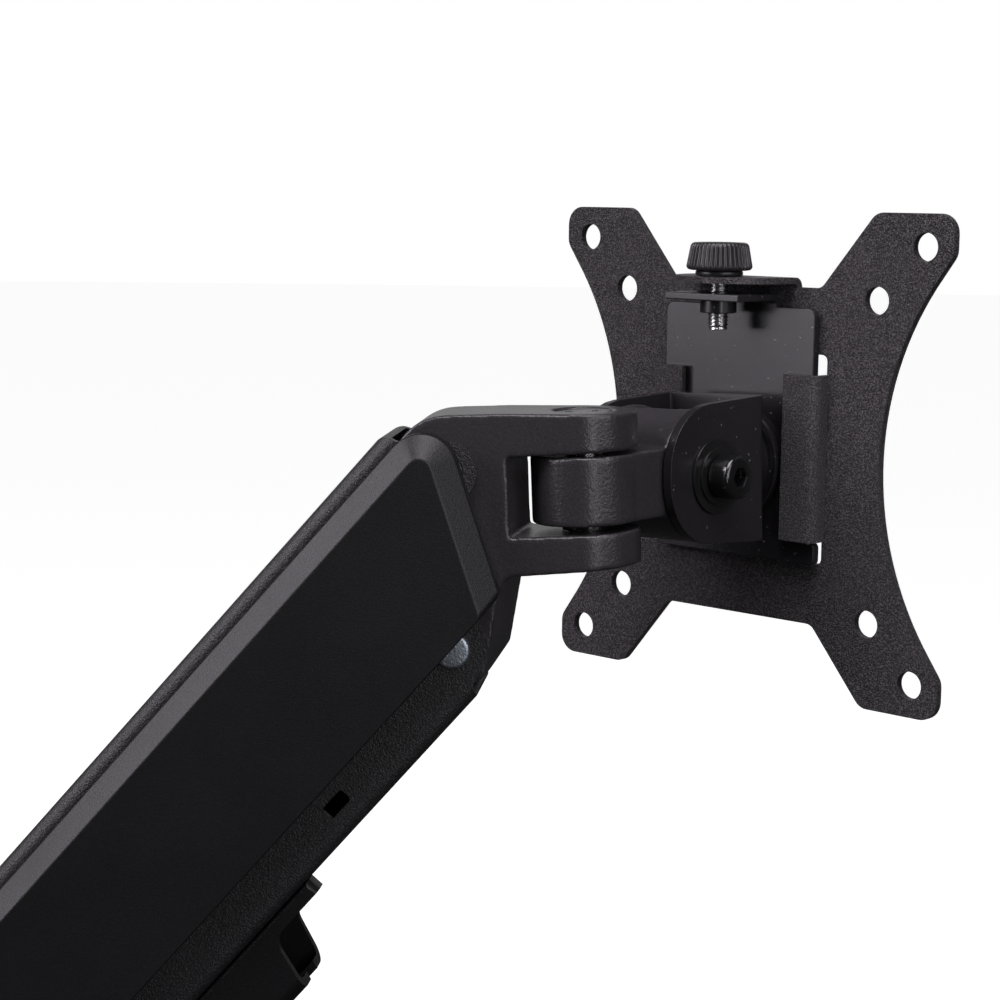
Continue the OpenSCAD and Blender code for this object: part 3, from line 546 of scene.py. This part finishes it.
# Foot, post and elbow
screws("column_screws", WORLD, [(sx * COLUMN_AT, sy * COLUMN_AT, COUNTERBORE) for sx in BOTH for sy in BOTH],
       DOWN, (2.5, 11.5, 4.6, 2.8, 3, 0.8))
screws("clamp_bolts", WORLD, [(side * BOLT_X, BOLT_Y, BRACKET_TOP) for side in BOTH], UP,
       (3, 10, 5, 3.5, 4, 1.0))
screws("post_screw", WORLD, [(0, 0, POST_SEAT)], UP, (4, 20, 6.5, 4, 5, 1.25))
screws("elbow_screw", ELBOW, [(0, 0, ELBOW_SEAT)], DOWN, (3, 17, 5, 3.4, 4, 1.0))
screws("tension_screw", REAR, [(8, 0, 5.5)], UP, (3, 39, 4.4, 4.5, 5, 1.0))
washer("post_washer", WORLD, [(4.2, 16, POST_WASHER, POST_SEAT, 0.35, None)], "zinc")
washer("elbow_washer", ELBOW, [(3.2, 14, ELBOW_SEAT, 57.8, 0.35, None)], "zinc")
bm = bmesh.new()
threaded(bm, 5, 1.5, -136.5, -36.6, Matrix.Identity(4), 32)
piece("clamp_screw", bm, WORLD, "zinc", 60)

# Tilt joint: bolt, washers, and a nut whose corners are chamfered at both ends
screws("tilt_bolt", TILT, [(-TILT_SEAT, 0, 0)], (-1, 0, 0), (3, 38.2, 5, 6, 4, 1.0))
washer("tilt_washers", TILT, [(3, 8.7, EAR_OUT, 15.3, 0.22, m) for m in sides]
       + [(3, 6.6, 15.2, TILT_SEAT, 0.15, m) for m in sides]
       + [(5, 13, 11.6, 12.4, 0.2, m) for m in sides], "nylon")
NUT_ACROSS, NUT_H, NUT_CHAMFER, NUT_BORE = 10, 6, 0.8, 3
nut_rim = NUT_ACROSS / 2 / math.cos(math.pi / 6)


def nut_shape(a, r, z):
    chamfer = nut_rim - max(0.0, NUT_CHAMFER - min(z, NUT_H - z)) * 1.1
    return min(hexagon(NUT_ACROSS, a), chamfer) if r > NUT_BORE + 1 else r


bm = bmesh.new()
turned(bm, [(NUT_BORE, 0.5), (3.5, 0), (5.0, 0)]
       + [(5.5, z) for z in (0.02, 0.25, 0.5, NUT_CHAMFER, 3, 5.2, 5.5, 5.75, 5.98)]
       + [(5.0, NUT_H), (3.5, NUT_H), (NUT_BORE, 5.5)],
       TILT @ facing((TILT_SEAT, 0, 0), X), 96, nut_shape, closed=True)
piece("tilt_nut", bm, None, "oxide", 25)

# Screen rotation: the stepped disc with its raised rim, and the headed pivot
bm = bmesh.new()
turned(bm, [(6, 2.6), (13.4, 2.6), (13.85, 2.75), (14, 3.1), (14, 4.1), (13.85, 4.45), (13.5, 4.6),
            (13.1, 4.45), (12.7, 4.1), (11.6, 3.9), (11.0, 4.1), (11, 7.5), (10.6, 7.9), (6, 7.9)],
       along_y, 96, closed=True)
piece("rotation_disc", bm, SPIN, "satin", 40, even=True)
bm = bmesh.new()
turned(bm, [(0, 0.6), (5.4, 0.6), (6, 1.1), (6, 11.6), (7.4, 11.6), (7.9, 11.8), (8, 12.2), (7.8, 12.8),
            (7.2, 13.15), (3, 13.2), (2.4, 12.9), (0, 12.7)], along_y, 72)
piece("rotation_pivot", bm, SPIN, "zinc")

# Rivet of the lower link: a shank with a flat domed head on each side
bm = bmesh.new()
for side in BOTH:
    turned(bm, [(3.6, -0.4), (4.0, 0.05), (4.0, 0.8), (3.9, 1.1), (3.65, 1.3), (3.3, 1.38), (1.2, 1.4),
                (0, 1.4)], facing((SPAN, side * RIVET_SIDE, 0), (0, side, 0)), 64)
turned(bm, [(0, -RIVET_SIDE), (4, -RIVET_SIDE), (4, RIVET_SIDE), (0, RIVET_SIDE)],
       facing((SPAN, 0, 0), Y), 64)
piece("front_lower_rivet", bm, LINK, "rivet")

# Thumb screw: collar, ribbed knob with a dished top, and threaded stud
washer("thumb_collar", PLATE @ facing(STUD, UP), [(2.55, 5.6, 42.1, 43.3, 0.35, None)], "plastic")
RIBS, RIB_DEPTH, RIB_LOW, RIB_HIGH = 40, 0.42, 0.15, 6.2


def ribs(a, r, z):
    if not RIB_LOW < z < RIB_HIGH or r < 6.4:
        return r
    fade = min(1.0, (z - RIB_LOW) / 0.5, (RIB_HIGH - z) / 0.7)
    return r - RIB_DEPTH * fade * (0.5 + 0.5 * math.cos(a * RIBS)) ** 2


bm = bmesh.new()
turned(bm, [(0, 0), (6.6, 0), (7.2, 0.1), (7.55, 0.35), (7.78, 0.8), (7.7, 1.4), (7.5, 2.4), (7.28, 3.6),
            (7.08, 4.7), (6.95, 5.4), (6.8, 5.9), (6.45, 6.3), (6.0, 6.5), (5.4, 6.52), (4.9, 6.35),
            (4.5, 6.1), (0, 6.0)], facing(KNOB, UP), RIBS * 10, ribs)
piece("thumb_knob", bm, PLATE, "plastic", 50)
bm = bmesh.new()
threaded(bm, 2.5, 0.9, 29.4, 47.4, facing(STUD, UP), 40)
piece("thumb_stud", bm, PLATE, "zinc", 60)
